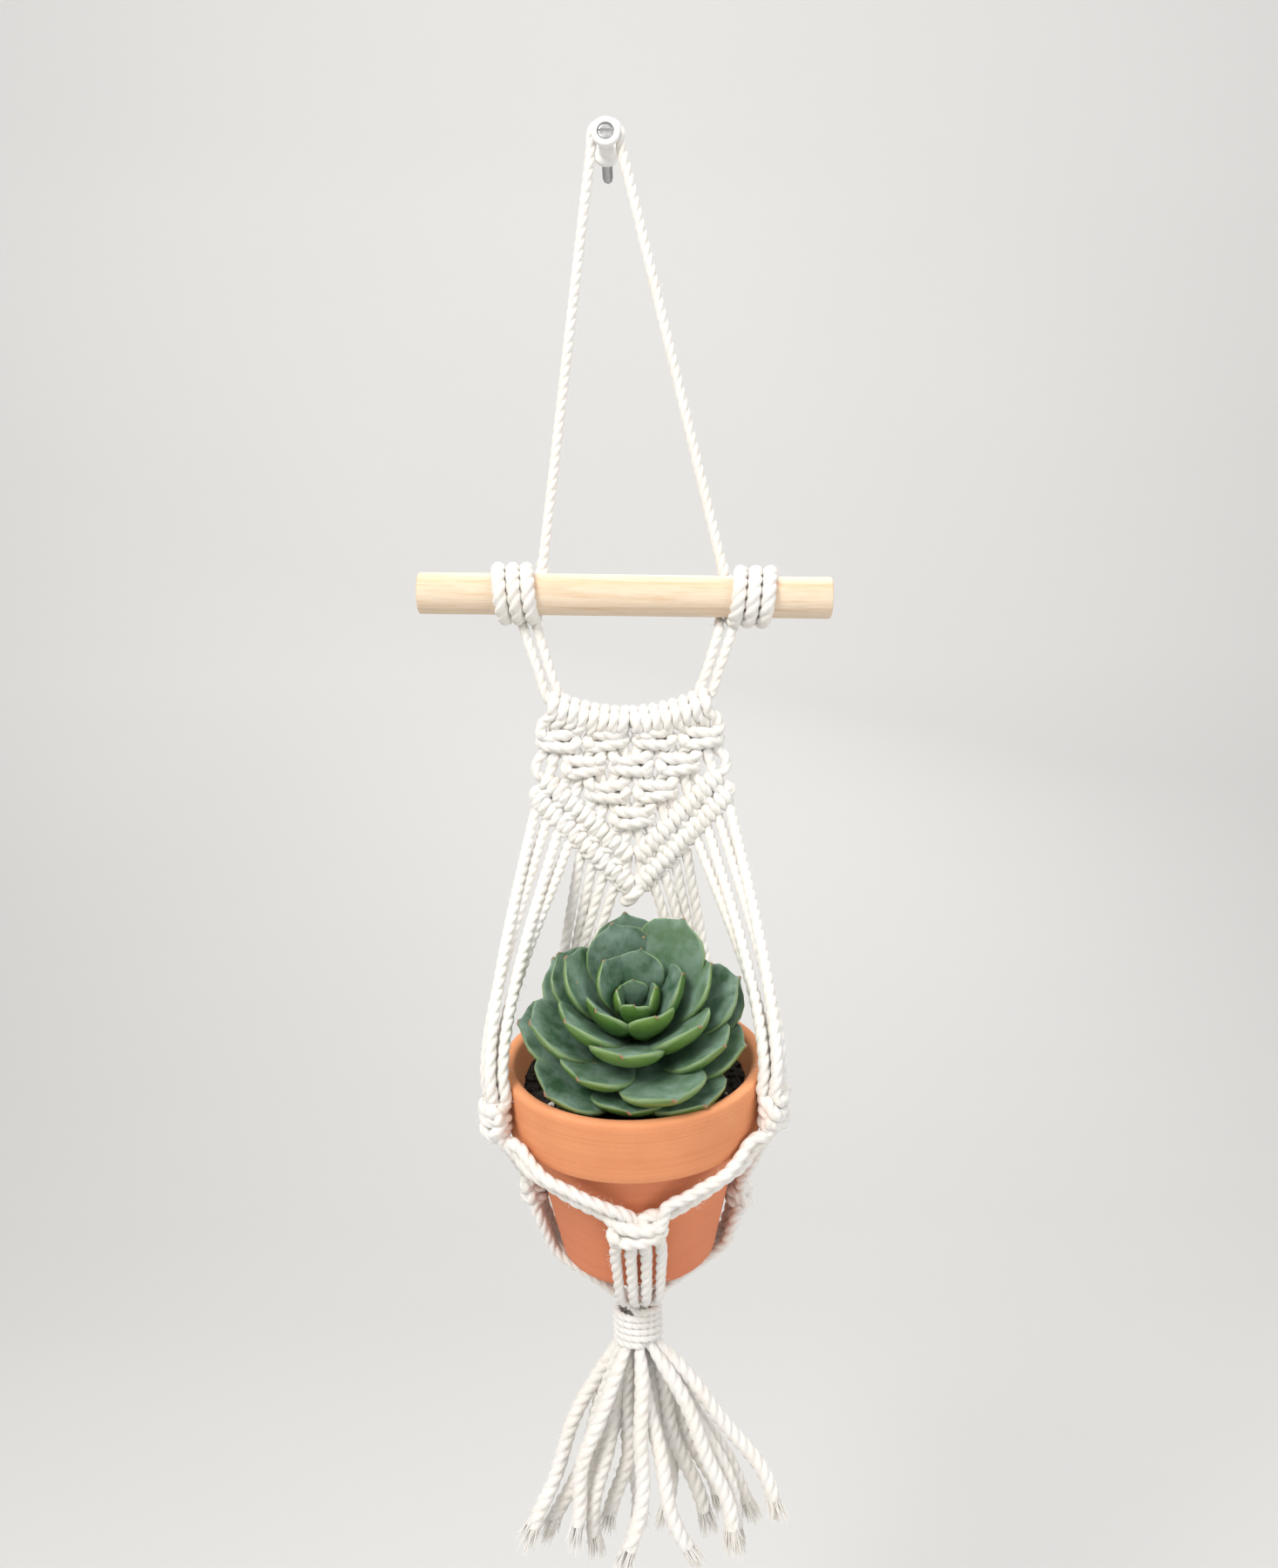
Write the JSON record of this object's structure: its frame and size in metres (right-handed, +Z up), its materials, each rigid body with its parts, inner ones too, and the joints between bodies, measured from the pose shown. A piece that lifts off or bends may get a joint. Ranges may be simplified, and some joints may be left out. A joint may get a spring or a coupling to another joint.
{
  "type": "hanging macrame planter",
  "caption": "Hanging macrame planter: knotted cotton panel on a wooden dowel, cord cradle round a clay pot with a succulent, bound tassel.",
  "frame": {"origin": "on the wall face, on the axis of the peg and its screw", "axes": "+X to the right seen from the room, +Y into the wall along the screw, +Z up; the planter hangs towards -Z, in front of the wall at -Y"},
  "size_m": [0.1274, 0.1021, 0.4289],
  "materials": {
    "peg_white": "smooth moulded white",
    "screw_steel": "zinc plated",
    "cotton": "three-ply twisted natural cotton, matte",
    "binding_cotton": "thin twisted natural cotton, wound tight",
    "pine": "plain sanded pine, unvarnished",
    "terracotta": "unglazed matte fired clay",
    "soil": "loose peat and bark potting mix",
    "stem": "fleshy plant stem, matte",
    "leaf": "fleshy leaf with a pale waxy bloom"
  },
  "bodies": {
    "peg": {"wall_peg": "peg_white", "peg_screw": "screw_steel"},
    "hanger": {"hanger_cord": "cotton", "wrap_left": "cotton", "wrap_right": "cotton", "dowel": "pine"},
    "cradle": {"yoke_left": "cotton", "yoke_right": "cotton", "header_cord": "cotton", "lark_knots": "cotton", "square_knots_1": "cotton", "square_knots_2": "cotton", "square_knots_3": "cotton", "square_knots_4": "cotton", "hitches_upper_left": "cotton", "hitches_upper_right": "cotton", "hitches_lower_left": "cotton", "hitches_lower_right": "cotton", "upper_cords_front_left": "cotton", "upper_cords_front_right": "cotton", "upper_cords_back_left": "cotton", "upper_cords_back_right": "cotton", "knot_front_left": "cotton", "knot_front_right": "cotton", "knot_back_left": "cotton", "knot_back_right": "cotton", "pair_front_left": "cotton", "pair_front_right": "cotton", "pair_side_left": "cotton", "pair_side_right": "cotton", "pair_rear_left": "cotton", "pair_rear_right": "cotton", "pair_back_left": "cotton", "pair_back_right": "cotton", "knot_lower_front": "cotton", "knot_lower_left": "cotton", "knot_lower_right": "cotton", "knot_lower_back": "cotton", "lower_cords_front": "cotton", "lower_cords_left": "cotton", "lower_cords_right": "cotton", "lower_cords_back": "cotton", "binding": "binding_cotton"},
    "pot_and_plant": {"pot": "terracotta", "soil": "soil", "plant_stem": "stem", "outer_leaves": "leaf", "middle_leaves": "leaf", "inner_leaves": "leaf", "heart_leaves": "leaf"},
    "tassel": {"tassel_front": "cotton", "tassel_left": "cotton", "tassel_right": "cotton", "tassel_back": "cotton"}
  },
  "joints": [
    {"name": "swing_sideways", "type": "hinge", "parent": "peg", "child": "hanger", "pos_m": [0, -0.01, 0], "axis": [0, 1, 0], "range_deg": [-20, 20]},
    {"name": "swing_forward", "type": "hinge", "parent": "hanger", "child": "cradle", "pos_m": [0.002, -0.01, -0.1415], "axis": [-0.9992, 0, 0.0401], "range_deg": [0, 30]},
    {"name": "pot_lift", "type": "slide", "parent": "cradle", "child": "pot_and_plant", "axis": [0, -0.2756, 0.9613], "range_m": [0, 0.1], "deforming": ["upper_cords_front_left", "upper_cords_front_right"]},
    {"name": "tassel_swing", "type": "hinge", "parent": "cradle", "child": "tassel", "pos_m": [0, -0.02793, -0.36247], "axis": [0, 1, 0], "range_deg": [-15, 15]}
  ]
}
